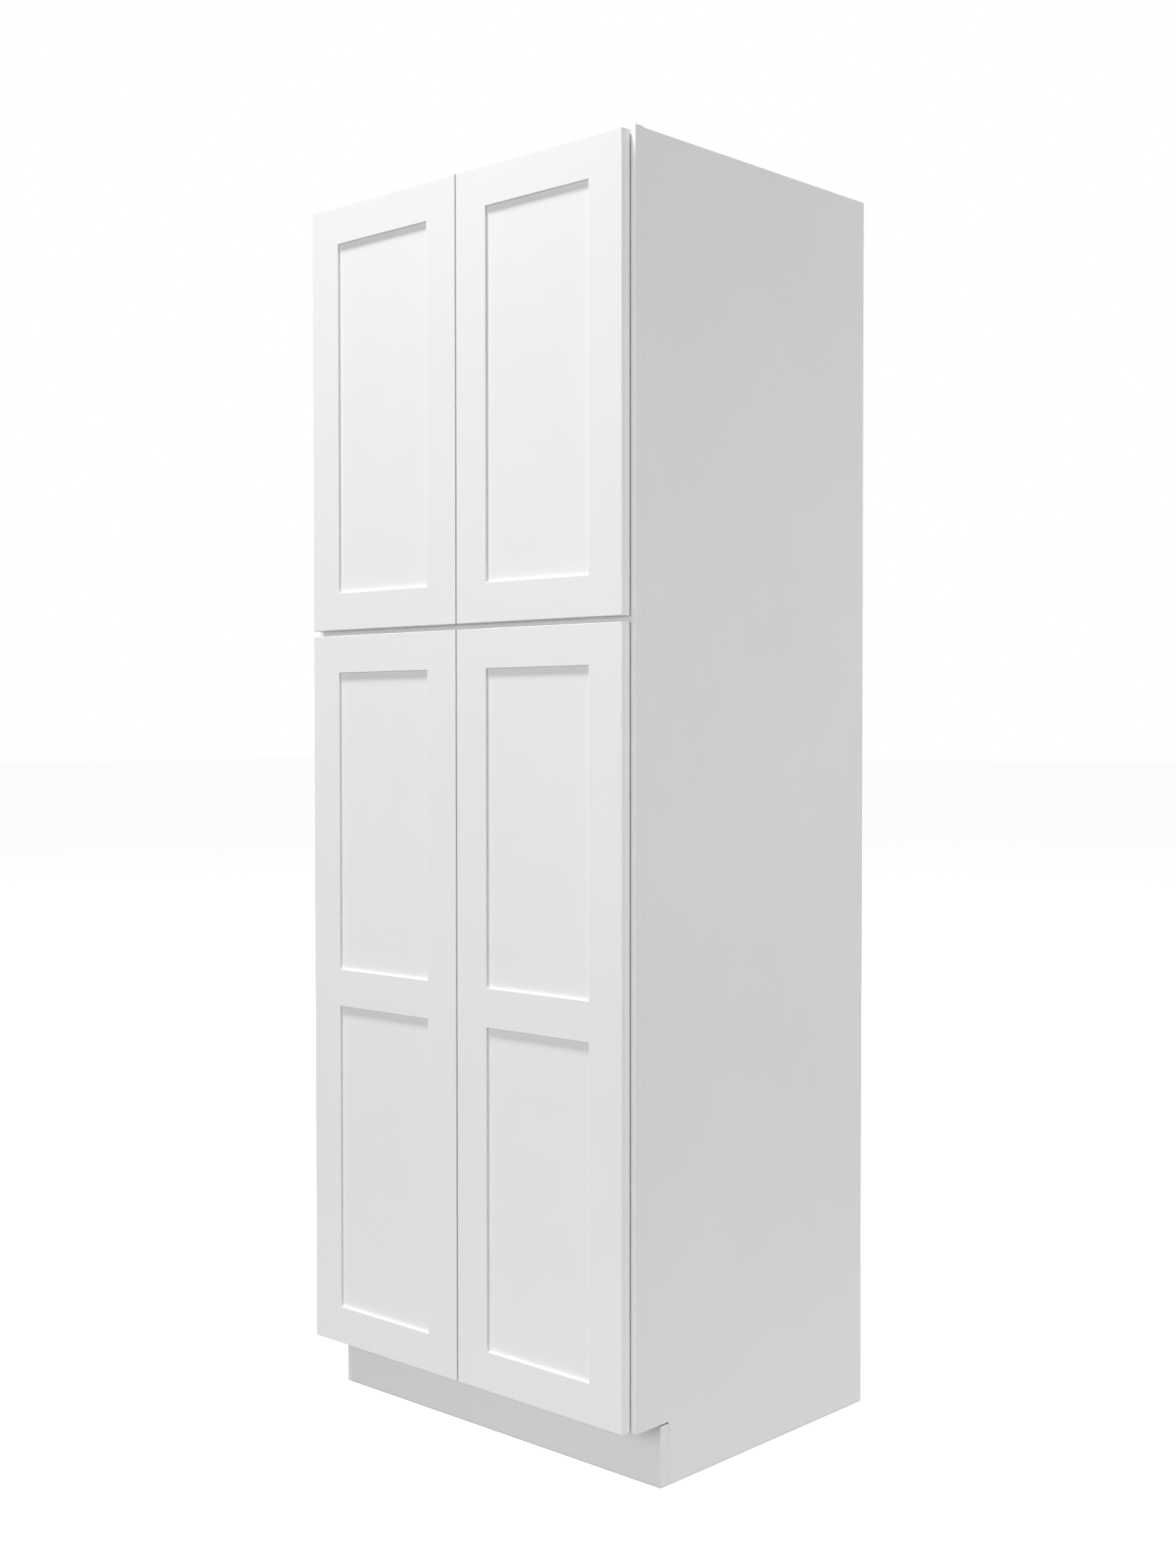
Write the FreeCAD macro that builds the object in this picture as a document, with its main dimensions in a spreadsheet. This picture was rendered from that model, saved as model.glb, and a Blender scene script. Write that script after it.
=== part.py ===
import FreeCAD, Part
import os
import re
import Sketcher
from FreeCAD import Placement, Rotation, Vector

# A tall framed pantry cabinet: a plywood carcass behind a solid-wood face frame, closed by two upper and
# two lower shaker doors on concealed hinges. Lengths are in millimetres. The origin is on the floor under
# the middle of the cabinet, +Z is up, the doors face -Y and the wall is at +Y.

SIZES = {
    # Carcass. The depth runs from the wall to the front of the face frame.
    "cabinet_width": 762.0,
    "cabinet_height": 2133.6,
    "cabinet_depth": 609.6,
    "side_thickness": 12.7,
    "deck_thickness": 12.7,
    "shelf_thickness": 19.05,
    "back_thickness": 6.35,
    "frame_lip": 2.0,
    "toe_height": 101.6,
    "toe_depth": 79.4,
    "toe_board_thickness": 19.05,
    "toe_board_gap": 2.6,
    # Hanging rails, behind the back panel.
    "hanging_rail_height": 88.9,
    "hanging_rail_thickness": 19.05,
    # Face frame.
    "frame_thickness": 19.05,
    "stile_width": 38.1,
    "frame_rail_height": 38.1,
    # Doors. Each gap is the bare strip seen between neighbouring pieces.
    "door_thickness": 19.05,
    "door_gap": 2.2,
    "side_reveal": 9.5,
    "top_reveal": 8.0,
    "centre_gap": 3.0,
    "door_stack_gap": 9.7,
    "lower_door_bottom": 104.3,
    "lower_door_top": 1369.0,
    "door_stile_width": 70.0,
    "door_rail_height": 66.0,
    "middle_rail_centre": 742.6,
    "panel_recess": 5.0,
    "panel_thickness": 6.35,
    "groove_depth": 10.0,
    "tenon_length": 9.5,
    "panel_edge": 9.0,
    # Adjustable shelves and the holes that their pins plug into.
    "shelf_side_clearance": 1.5,
    "shelf_front_setback": 12.0,
    "shelf_back_clearance": 3.0,
    "shelf_pin_radius": 2.5,
    "pin_hole_depth": 9.0,
    "pin_hole_spacing": 50.8,
    "pin_row_inset": 50.8,
    "lower_pin_row_start": 241.3,
    "upper_pin_row_start": 1495.4,
    "shelf_rest_length": 9.0,
    "shelf_rest_width": 8.0,
    # Dowels that join the boards.
    "frame_dowel_radius": 4.0,
    "frame_dowel_length": 40.0,
    "frame_dowel_spacing": 19.0,
    "deck_dowel_radius": 3.0,
    "deck_dowel_length": 30.0,
    "deck_dowel_inset": 60.0,
    # Hinges: a round cup let into the back of the door, and an arm that turns on a pin inside the cup.
    "hinge_inset": 89.0,
    "cup_radius": 17.5,
    "cup_depth": 13.7,
    "cup_centre": 20.5,
    "cup_rim_radius": 18.4,
    "cup_flange_thickness": 1.0,
    "cup_flange_half_length": 27.0,
    "cup_flange_start": 24.5,
    "cup_flange_width": 11.5,
    "cup_floor": 0.8,
    "slot_start": 4.3,
    "slot_length": 28.7,
    "slot_width": 10.0,
    "pin_edge_distance": 6.5,
    "pin_above_floor": 3.2,
    "pin_radius": 1.25,
    "pin_clearance": 0.05,
    "pin_length": 15.0,
    "knuckle_radius": 2.0,
    "knuckle_gap": 3.0,
    "arm_width": 9.0,
    "arm_thickness": 1.5,
    "arm_plate_height": 32.0,
    "arm_plate_depth": 16.5,
    "arm_plate_setback": 0.5,
    "spring_wire_radius": 0.32,
    "spring_coil_radius": 1.66,
    "spring_pitch": 0.8,
    "spring_height": 2.0,
    # Hinge screws.
    "cup_screw_offset": 9.5,
    "cup_screw_spacing": 45.0,
    "cup_screw_radius": 1.6,
    "cup_screw_length": 10.0,
    "cup_screw_head_radius": 2.8,
    "cup_screw_head_height": 0.8,
    "plate_screw_spacing": 20.0,
    "plate_screw_radius": 1.7,
    "plate_screw_length": 16.5,
    "plate_screw_head_radius": 3.2,
    "plate_screw_head_height": 1.8,
    # Bumpers on the backs of the doors.
    "bumper_radius": 4.0,
    "bumper_inset": 7.0,
    "bumper_edge_distance": 22.0,
    "bumper_play": 0.1,
}

# Lengths and places that follow from the sizes above.
FORMULAS = {
    "half_width": "cabinet_width / 2",
    "inner_half_width": "half_width - side_thickness",
    "opening_half_width": "half_width - stile_width",
    "overall_depth": "cabinet_depth + door_gap + door_thickness",
    "wall_plane": "overall_depth / 2",
    "door_front": "0 - overall_depth / 2",
    "door_back": "door_front + door_thickness",
    "frame_front": "door_back + door_gap",
    "frame_back": "frame_front + frame_thickness",
    "side_depth": "wall_plane - frame_back",
    "side_top": "cabinet_height - frame_lip",
    "hanging_rail_front": "wall_plane - hanging_rail_thickness",
    "back_panel_front": "hanging_rail_front - back_thickness",
    "deck_depth": "back_panel_front - frame_back",
    "bottom_deck_top": "toe_height + frame_rail_height",
    "middle_deck_top": "lower_door_top + (door_stack_gap + frame_rail_height) / 2",
    "upper_door_bottom": "lower_door_top + door_stack_gap",
    "upper_door_top": "cabinet_height - top_reveal",
    "hinge_edge": "half_width - side_reveal",
    "door_width": "hinge_edge - centre_gap / 2",
    "door_opening_width": "door_width - 2 * door_stile_width",
    "back_pin_row": "deck_depth - pin_row_inset",
    "cup_plane": "door_back - cup_depth",
    "arm_outer_face": "stile_width - side_reveal",
    "arm_bottom": "pin_above_floor - knuckle_radius",
    "arm_plate_start": "cup_depth + door_gap + arm_plate_setback",
}

LOWER_PIN_HOLES = 20
UPPER_PIN_HOLES = 11
SHELVES = {
    "lower_shelf_bottom": ("lower_pin_row_start", 4),
    "lower_shelf_middle": ("lower_pin_row_start", 10),
    "lower_shelf_top": ("lower_pin_row_start", 16),
    "upper_shelf_bottom": ("upper_pin_row_start", 3),
    "upper_shelf_top": ("upper_pin_row_start", 8),
}
DOORS = {
    "upper": {"bottom": "upper_door_bottom", "top": "upper_door_top", "hinges": ["bottom", "top"]},
    "lower": {"bottom": "lower_door_bottom", "top": "lower_door_top", "hinges": ["bottom", "middle", "top"]},
}
SIDES = {"left": -1, "right": 1}
FLIPPED = Rotation(Vector(0, 1, 0), 180)
UPRIGHT = Rotation()
ALONG_X = Rotation(Vector(0, 1, 0), 90)
ALONG_Y = Rotation(Vector(1, 0, 0), -90)

doc = FreeCAD.newDocument("PantryCabinet")
sheet = doc.addObject("Spreadsheet::Sheet", "Sizes")
for row, (name, value) in enumerate(SIZES.items(), start=1):
    sheet.set("A%d" % row, name)
    sheet.set("B%d" % row, str(value))
    sheet.setAlias("B%d" % row, name)
doc.recompute()

nodes = []


def expand(text):
    """Trace every name in a formula back to the spreadsheet's cells."""
    def look_up(match):
        name = match.group(0)
        if name in FORMULAS:
            return "(" + expand(FORMULAS[name]) + ")"
        return "Sizes." + name
    return re.sub("[a-z][a-z_]*[a-z]", look_up, text)


def bind(item, **formulas):
    """Drive an object's properties from the spreadsheet."""
    for target, text in formulas.items():
        item.setExpression(target, expand(text))


def place(item, corner, rotation=UPRIGHT):
    """Turn an object and drive its position from the spreadsheet."""
    item.Placement = Placement(Vector(), rotation)
    for axis, text in zip("xyz", corner):
        item.setExpression("Placement.Base." + axis, expand(text))
    return item


def keep(item):
    """Count an object as one of the cabinet's named pieces."""
    nodes.append(item)
    return item


# ---- simple solids and booleans -------------------------------------------------------------------------

def box(name, corner, extent):
    item = doc.addObject("Part::Box", name)
    bind(item, Length=extent[0], Width=extent[1], Height=extent[2])
    return place(item, corner)


def cylinder(name, start, radius, length, rotation=UPRIGHT):
    item = doc.addObject("Part::Cylinder", name)
    bind(item, Radius=radius, Height=length)
    return place(item, start, rotation)


def fused(name, shapes):
    item = doc.addObject("Part::MultiFuse", name)
    item.Shapes = shapes
    return item


def group(name, shapes):
    item = doc.addObject("Part::Compound", name)
    item.Links = shapes
    return item


def cut(name, blank, tool):
    item = doc.addObject("Part::Cut", name)
    item.Base = blank
    item.Tool = tool
    return item


def repeated(name, pattern, places):
    """A group of copies of one solid, each at a (corner, rotation)."""
    copies = []
    for number, (corner, rotation) in enumerate(places, start=1):
        copy = doc.addObject("App::Link", "%s_%d" % (name, number))
        copy.LinkedObject = pattern
        copy.LinkTransform = True
        copies.append(place(copy, corner, rotation))
    return group(name, copies)


# ---- sketched solids ------------------------------------------------------------------------------------

def sketch_on(body, name, role, setback="0"):
    """An empty sketch on one of the body's own origin planes, moved back along that plane's normal."""
    plane = [feature for feature in body.Origin.OriginFeatures if feature.Role == role][0]
    sketch = body.newObject("Sketcher::SketchObject", name)
    sketch.AttachmentSupport = [(plane, "")]
    sketch.MapMode = "FlatFace"
    if setback != "0":
        sketch.setExpression("AttachmentOffset.Base.z", expand("0 - (%s)" % setback))
    return sketch


def pin_point(sketch, geometry, point, across, along):
    """Fix a point of a sketch by its two distances from the sketch's origin."""
    for kind, text in (("DistanceX", across), ("DistanceY", along)):
        number = sketch.addConstraint(Sketcher.Constraint(kind, -1, 1, geometry, point, 1.0))
        sketch.setExpression("Constraints[%d]" % number, expand(text))


def outline(body, name, role, corners):
    """A closed straight-sided outline whose corners are driven from the spreadsheet."""
    sketch = sketch_on(body, name, role)
    count = len(corners)
    for number in range(count):
        start = Vector(number, number % 2, 0)
        end = Vector((number + 1) % count, (number + 1) % 2, 0)
        sketch.addGeometry(Part.LineSegment(start, end), False)
    for number in range(count):
        sketch.addConstraint(Sketcher.Constraint("Coincident", number, 2, (number + 1) % count, 1))
    for number, (across, along) in enumerate(corners):
        pin_point(sketch, number, 1, across, along)
    return sketch


def pad(body, name, sketch, length, midplane=False, reverse=False):
    feature = body.newObject("PartDesign::Pad", name)
    feature.Profile = sketch
    feature.Midplane = midplane
    feature.Reversed = reverse
    bind(feature, Length=length)
    return feature


def drill(body, name, sketch, centres, radius, depth, reverse):
    """Blind round holes from a sketch's plane into the body. Raises if they remove nothing."""
    doc.recompute()
    volume_before = body.Shape.Volume
    for number, (across, along) in enumerate(centres):
        centre = Vector(10 * number, 10 * number, 0)
        sketch.addGeometry(Part.Circle(centre, Vector(0, 0, 1), 1.0), False)
        pin_point(sketch, number, 3, across, along)
        constraint = sketch.addConstraint(Sketcher.Constraint("Radius", number, 1.0))
        sketch.setExpression("Constraints[%d]" % constraint, expand(radius))
    pocket = body.newObject("PartDesign::Pocket", name)
    pocket.Profile = sketch
    pocket.Reversed = reverse
    bind(pocket, Length=depth)
    doc.recompute()
    if body.Shape.Volume > volume_before - 1.0:
        raise RuntimeError(name + " removes nothing")
    return pocket


def repeat_upward(body, name, feature, spacing, count):
    """Copy a feature straight up at an even spacing."""
    axis = [item for item in body.Origin.OriginFeatures if item.Role == "Z_Axis"][0]
    pattern = body.newObject("PartDesign::LinearPattern", name)
    pattern.Originals = [feature]
    pattern.Direction = (axis, [""])
    pattern.Occurrences = count
    bind(pattern, Length="%s * %d" % (spacing, count - 1))
    body.Tip = pattern
    return pattern


# ---- face frame and carcass -----------------------------------------------------------------------------

FRAME_RAIL_BOTTOMS = {
    "top": "cabinet_height - frame_rail_height",
    "middle": "middle_deck_top - frame_rail_height",
    "bottom": "toe_height",
}
DECKS = {
    "top_panel": ("side_top - deck_thickness", "deck_thickness"),
    "middle_deck": ("middle_deck_top - shelf_thickness", "shelf_thickness"),
    "bottom_deck": ("bottom_deck_top - deck_thickness", "deck_thickness"),
}


def make_dowels():
    """Two dowels in each face-frame joint and three in each end of each deck."""
    dowels = []
    for side in SIDES.values():
        for rail, bottom in FRAME_RAIL_BOTTOMS.items():
            for step in (-1, 1):
                start = (
                    "%d * opening_half_width - frame_dowel_length / 2" % side,
                    "frame_front + frame_thickness / 2",
                    "%s + frame_rail_height / 2 + %d * frame_dowel_spacing / 2" % (bottom, step),
                )
                name = "%s_rail_dowel" % rail
                dowels.append(cylinder(name, start, "frame_dowel_radius", "frame_dowel_length", ALONG_X))
        for deck, (bottom, thickness) in DECKS.items():
            for across in ("deck_dowel_inset", "deck_depth / 2", "deck_depth - deck_dowel_inset"):
                start = (
                    "%d * (inner_half_width + pin_hole_depth - deck_dowel_length / 2)"
                    " - deck_dowel_length / 2" % side,
                    "frame_back + " + across,
                    "%s + %s / 2" % (bottom, thickness),
                )
                name = "%s_dowel" % deck
                dowels.append(cylinder(name, start, "deck_dowel_radius", "deck_dowel_length", ALONG_X))
    return keep(group("dowels", dowels))


def make_side_panel(side_name, dowels):
    """A plywood side with its toe notch and two rows of shelf-pin holes in its inner face."""
    side = SIDES[side_name]
    body = doc.addObject("PartDesign::Body", side_name + "_side_blank")
    notch = "toe_depth - frame_thickness"
    corners = [
        ("0", "toe_height"), (notch, "toe_height"), (notch, "0"),
        ("side_depth", "0"), ("side_depth", "side_top"), ("0", "side_top"),
    ]
    sketch = outline(body, side_name + "_side_outline", "YZ_Plane", corners)
    pad(body, side_name + "_side_pad", sketch, "side_thickness", reverse=(side < 0))
    for zone, count in (("lower", LOWER_PIN_HOLES), ("upper", UPPER_PIN_HOLES)):
        name = "%s_%s_pin_holes" % (side_name, zone)
        start = zone + "_pin_row_start"
        centres = [("pin_row_inset", start), ("back_pin_row", start)]
        holes = drill(body, name, sketch_on(body, name + "_sketch", "YZ_Plane"), centres,
                      "shelf_pin_radius", "pin_hole_depth", reverse=(side > 0))
        repeat_upward(body, name + "_row", holes, "pin_hole_spacing", count)
    place(body, ("%d * inner_half_width" % side, "frame_back", "0"))
    return keep(cut(side_name + "_side_panel", body, dowels))


def make_decks(dowels):
    for name, (bottom, thickness) in DECKS.items():
        corner = ("0 - inner_half_width", "frame_back", bottom)
        blank = box(name + "_blank", corner, ("2 * inner_half_width", "deck_depth", thickness))
        keep(cut(name, blank, dowels))


def make_back():
    corner = ("0 - inner_half_width", "back_panel_front", "bottom_deck_top - deck_thickness")
    extent = ("2 * inner_half_width", "back_thickness", "side_top - bottom_deck_top + deck_thickness")
    keep(box("back_panel", corner, extent))
    bottoms = {
        "top": "side_top - hanging_rail_height",
        "middle": "middle_deck_top - hanging_rail_height / 2",
        "bottom": "bottom_deck_top",
    }
    rail_extent = ("2 * inner_half_width", "hanging_rail_thickness", "hanging_rail_height")
    rails = []
    for name, bottom in bottoms.items():
        corner = ("0 - inner_half_width", "hanging_rail_front", bottom)
        rails.append(box(name + "_hanging_rail", corner, rail_extent))
    keep(group("hanging_rails", rails))


def make_face_frame(dowels, screws):
    for name, side in SIDES.items():
        stile_left = "%d * (half_width - stile_width / 2) - stile_width / 2" % side
        corner = (stile_left, "frame_front", "toe_height")
        extent = ("stile_width", "frame_thickness", "cabinet_height - toe_height")
        blank = box(name + "_stile_blank", corner, extent)
        doweled = cut(name + "_stile_doweled", blank, dowels)
        keep(cut("frame_%s_stile" % name, doweled, screws))
    for name, bottom in FRAME_RAIL_BOTTOMS.items():
        corner = ("0 - opening_half_width", "frame_front", bottom)
        extent = ("2 * opening_half_width", "frame_thickness", "frame_rail_height")
        blank = box(name + "_rail_blank", corner, extent)
        keep(cut("frame_%s_rail" % name, blank, dowels))


def make_toe_kick():
    corner = ("0 - half_width", "frame_front + toe_depth - toe_board_thickness", "0")
    extent = ("cabinet_width", "toe_board_thickness", "toe_height - toe_board_gap")
    keep(box("toe_kick_board", corner, extent))


def make_shelves():
    """Loose shelves, and under each one four pins plugged into the side panels."""
    plug = cylinder("pin_plug", ("0 - pin_hole_depth", "0", "0"), "shelf_pin_radius",
                    "pin_hole_depth + shelf_rest_length / 2", ALONG_X)
    rest = box("pin_rest", ("0", "0 - shelf_rest_width / 2", "0 - shelf_pin_radius"),
               ("shelf_rest_length", "shelf_rest_width", "2 * shelf_pin_radius"))
    pattern = fused("shelf_pin_pattern", [plug, rest])
    places = []
    for name, (row_start, hole) in SHELVES.items():
        pin_height = "%s + %d * pin_hole_spacing" % (row_start, hole)
        corner = (
            "shelf_side_clearance - inner_half_width",
            "frame_back + shelf_front_setback",
            pin_height + " + shelf_pin_radius",
        )
        extent = (
            "2 * (inner_half_width - shelf_side_clearance)",
            "deck_depth - shelf_front_setback - shelf_back_clearance",
            "shelf_thickness",
        )
        keep(box(name, corner, extent))
        for side in SIDES.values():
            for row in ("pin_row_inset", "back_pin_row"):
                turn = UPRIGHT if side < 0 else FLIPPED
                places.append((("%d * inner_half_width" % side, "frame_back + " + row, pin_height), turn))
    keep(repeated("shelf_pins", pattern, places))


# ---- hinges ---------------------------------------------------------------------------------------------
# Each hinge piece is drawn once for a left-hand door. Its X runs inward from the door's hinged edge, its Y
# runs back from the floor of the cup, and its Z is zero at the middle of the hinge. It is the same above
# and below that middle, so turning it over gives the right-hand one.

def hinge_places(level, side):
    """Where one door's hinges go."""
    door = DOORS[level]
    heights = {
        "bottom": "%s + hinge_inset" % door["bottom"],
        "middle": "(%s + %s) / 2" % (door["bottom"], door["top"]),
        "top": "%s - hinge_inset" % door["top"],
    }
    turn = UPRIGHT if side < 0 else FLIPPED
    return [(("%d * hinge_edge" % side, "cup_plane", heights[name]), turn) for name in door["hinges"]]


def cup_pattern():
    """A steel cup with a flange on the door's back and a slot that the arm swings out of."""
    puck = cylinder("cup_puck", ("cup_centre", "0", "0"), "cup_radius", "cup_depth", ALONG_Y)
    rim = cylinder("cup_rim", ("cup_centre", "cup_depth", "0"), "cup_rim_radius",
                   "cup_flange_thickness", ALONG_Y)
    flange = box("cup_flange", ("cup_flange_start", "cup_depth", "0 - cup_flange_half_length"),
                 ("cup_flange_width", "cup_flange_thickness", "2 * cup_flange_half_length"))
    slot = box("cup_slot", ("slot_start", "cup_floor", "0 - slot_width / 2"),
               ("slot_length", "cup_depth + cup_flange_thickness", "slot_width"))
    bore = cylinder("cup_pin_bore", ("pin_edge_distance", "pin_above_floor", "0 - pin_length / 2"),
                    "pin_radius + pin_clearance", "pin_length")
    holes = []
    for step in (-1, 1):
        start = ("cup_centre + cup_screw_offset", "cup_depth", "%d * cup_screw_spacing / 2" % step)
        holes.append(cylinder("cup_screw_hole", start, "cup_screw_radius", "cup_flange_thickness", ALONG_Y))
    solid = fused("cup_solid", [puck, rim, flange])
    return cut("cup_pattern", solid, fused("cup_openings", [slot, bore] + holes))


def cup_screw_pattern():
    """The two screws that hold one cup to the door."""
    screws = []
    for step in (-1, 1):
        height = "%d * cup_screw_spacing / 2" % step
        across = "cup_centre + cup_screw_offset"
        shank = cylinder("cup_screw_shank", (across, "cup_depth - cup_screw_length", height),
                         "cup_screw_radius", "cup_screw_length + cup_flange_thickness", ALONG_Y)
        head = cylinder("cup_screw_head", (across, "cup_depth + cup_flange_thickness", height),
                        "cup_screw_head_radius", "cup_screw_head_height", ALONG_Y)
        screws.append(fused("cup_screw", [shank, head]))
    return group("cup_screw_pattern", screws)


def plate_screw_pattern():
    """The two screws that hold one arm to the face frame."""
    screws = []
    for step in (-1, 1):
        start = (
            "arm_outer_face + arm_thickness - plate_screw_length",
            "arm_plate_start + arm_plate_depth / 2",
            "%d * plate_screw_spacing / 2" % step,
        )
        head_start = ("arm_outer_face + arm_thickness", start[1], start[2])
        shank = cylinder("plate_screw_shank", start, "plate_screw_radius", "plate_screw_length", ALONG_X)
        head = cylinder("plate_screw_head", head_start, "plate_screw_head_radius",
                        "plate_screw_head_height", ALONG_X)
        screws.append(fused("plate_screw", [shank, head]))
    return group("plate_screw_pattern", screws)


def arm_pattern(plate_screws):
    """A bent steel arm: two knuckles on the pin, a leg along the slot, a leg back to the frame's edge."""
    knuckle = cylinder("arm_knuckle", ("pin_edge_distance", "pin_above_floor", "0 - arm_width / 2"),
                       "knuckle_radius", "arm_width")
    leg = box("arm_leg", ("pin_edge_distance", "arm_bottom", "0 - arm_width / 2"),
              ("arm_outer_face + arm_thickness - pin_edge_distance", "arm_thickness", "arm_width"))
    riser = box("arm_riser", ("arm_outer_face", "arm_bottom", "0 - arm_width / 2"),
                ("arm_thickness", "arm_plate_start - arm_bottom + arm_plate_depth", "arm_width"))
    plate = box("arm_plate", ("arm_outer_face", "arm_plate_start", "0 - arm_plate_height / 2"),
                ("arm_thickness", "arm_plate_depth", "arm_plate_height"))
    room = box("arm_spring_room", ("0", "0", "0 - knuckle_gap / 2"),
               ("pin_edge_distance + 1.2 * knuckle_radius", "3 * knuckle_radius", "knuckle_gap"))
    bore = cylinder("arm_pin_bore", ("pin_edge_distance", "pin_above_floor", "0 - pin_length / 2"),
                    "pin_radius", "pin_length")
    solid = fused("arm_solid", [knuckle, leg, riser, plate])
    hollowed = cut("arm_hollowed", solid, fused("arm_openings", [room, bore]))
    return cut("arm_pattern", hollowed, plate_screws)


def pin_pattern():
    start = ("pin_edge_distance", "pin_above_floor", "0 - pin_length / 2")
    return cylinder("pin_pattern", start, "pin_radius", "pin_length")


def spring_pattern():
    """The closing spring: a few turns of wire around the pin, between the knuckles."""
    helix = doc.addObject("Part::Helix", "spring_helix")
    bind(helix, Radius="spring_coil_radius", Pitch="spring_pitch", Height="spring_height")
    section = doc.addObject("Part::RegularPolygon", "spring_section")
    section.Polygon = 8
    bind(section, Circumradius="spring_wire_radius")
    place(section, ("spring_coil_radius", "0", "0"), Rotation(Vector(1, 0, 0), 90))
    coil = doc.addObject("Part::Sweep", "spring_coil")
    coil.Sections = [section]
    coil.Spine = (helix, [])
    coil.Solid = True
    coil.Frenet = True
    place(coil, ("pin_edge_distance", "pin_above_floor", "0 - spring_height / 2"))
    return coil


def make_frame_hinge_parts():
    """Everything of the hinges that stays with the face frame. Returns the screws."""
    places = []
    for level in DOORS:
        for side in SIDES.values():
            places += hinge_places(level, side)
    screws = plate_screw_pattern()
    keep(repeated("hinge_arms", arm_pattern(screws), places))
    keep(repeated("hinge_pins", pin_pattern(), places))
    keep(repeated("hinge_springs", spring_pattern(), places))
    return keep(repeated("hinge_plate_screws", screws, places))


# ---- doors ----------------------------------------------------------------------------------------------
# Stiles and rails are grooved along the edge that holds the panel, and each rail ends in a tenon that
# fills the stile's groove.

def make_stile(name, level, outer_edge, faces_right, hinge_heights):
    """A door stile drawn with its outer edge at X = 0 and its groove on the +X side."""
    body = doc.addObject("PartDesign::Body", name + "_blank")
    groove_floor = "door_stile_width - groove_depth"
    groove_back = "panel_recess + panel_thickness"
    corners = [
        ("0", "0"), ("door_stile_width", "0"), ("door_stile_width", "panel_recess"),
        (groove_floor, "panel_recess"), (groove_floor, groove_back), ("door_stile_width", groove_back),
        ("door_stile_width", "door_thickness"), ("0", "door_thickness"),
    ]
    door = DOORS[level]
    sketch = outline(body, name + "_outline", "XY_Plane", corners)
    pad(body, name + "_pad", sketch, "%s - %s" % (door["top"], door["bottom"]))
    if hinge_heights:
        centres = [("cup_centre", height) for height in hinge_heights]
        cup_sketch = sketch_on(body, name + "_cup_sketch", "XZ_Plane", setback="door_thickness")
        drill(body, name + "_cup_bores", cup_sketch, centres, "cup_radius", "cup_depth", reverse=True)
    base = door["top"] if faces_right else door["bottom"]
    return place(body, (outer_edge, "door_front", base), FLIPPED if faces_right else UPRIGHT)


def make_rail(name, middle, base, groove_below, turned=False):
    """A door rail drawn about its mid-length. It is grooved above, and below as well if asked."""
    body = doc.addObject("PartDesign::Body", name)
    groove_back = "panel_recess + panel_thickness"
    groove_floor = "door_rail_height - groove_depth"
    tenon_bottom = "groove_depth" if groove_below else "0"
    corners = [("0", "0")]
    if groove_below:
        corners += [
            ("panel_recess", "0"), ("panel_recess", "groove_depth"),
            (groove_back, "groove_depth"), (groove_back, "0"),
        ]
    corners += [
        ("door_thickness", "0"), ("door_thickness", "door_rail_height"), (groove_back, "door_rail_height"),
        (groove_back, groove_floor), ("panel_recess", groove_floor), ("panel_recess", "door_rail_height"),
        ("0", "door_rail_height"),
    ]
    tenon = [
        ("panel_recess", tenon_bottom), (groove_back, tenon_bottom),
        (groove_back, groove_floor), ("panel_recess", groove_floor),
    ]
    pad(body, name + "_pad", outline(body, name + "_outline", "YZ_Plane", corners),
        "door_opening_width", midplane=True)
    pad(body, name + "_tenons", outline(body, name + "_tenon_outline", "YZ_Plane", tenon),
        "door_opening_width + 2 * tenon_length", midplane=True)
    return keep(place(body, (middle, "door_front", base), FLIPPED if turned else UPRIGHT))


def make_panel(name, middle, bottom, top):
    """A flat panel between two rails, let into their grooves."""
    corner = ("%s - door_opening_width / 2 - panel_edge" % middle, "door_front + panel_recess",
              "%s - panel_edge" % bottom)
    extent = ("door_opening_width + 2 * panel_edge", "panel_thickness",
              "%s - (%s) + 2 * panel_edge" % (top, bottom))
    keep(box(name, corner, extent))


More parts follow.
